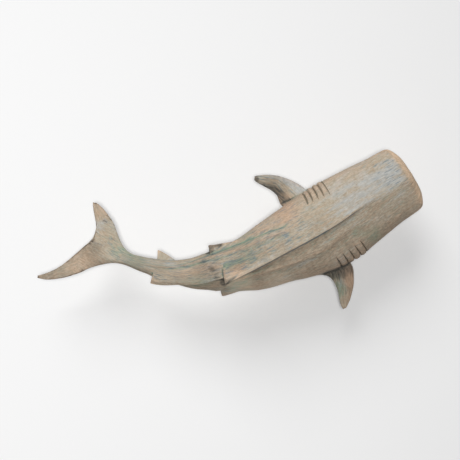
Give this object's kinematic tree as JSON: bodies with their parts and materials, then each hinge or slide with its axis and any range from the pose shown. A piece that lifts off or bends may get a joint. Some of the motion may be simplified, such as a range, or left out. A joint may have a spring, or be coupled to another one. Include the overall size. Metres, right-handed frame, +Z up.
{
  "type": "shark figurine",
  "caption": "Carved wall figurine of a whale shark seen from above, with a broad flat head, ridged back and curved forked tail.",
  "frame": {"origin": "middle of the flat on the belly that rests against the wall", "axes": "+Z up along the wall, +Y into the wall, +X to the right, where the snout points, with the back facing -Y"},
  "size_m": [0.6022, 0.0955, 0.2512],
  "materials": {
    "shark": "carved wood, matt, tan and grey-brown with a rubbed blue-green wash in the grooves"
  },
  "bodies": {
    "root": {"shark": "shark"}
  },
  "joints": []
}
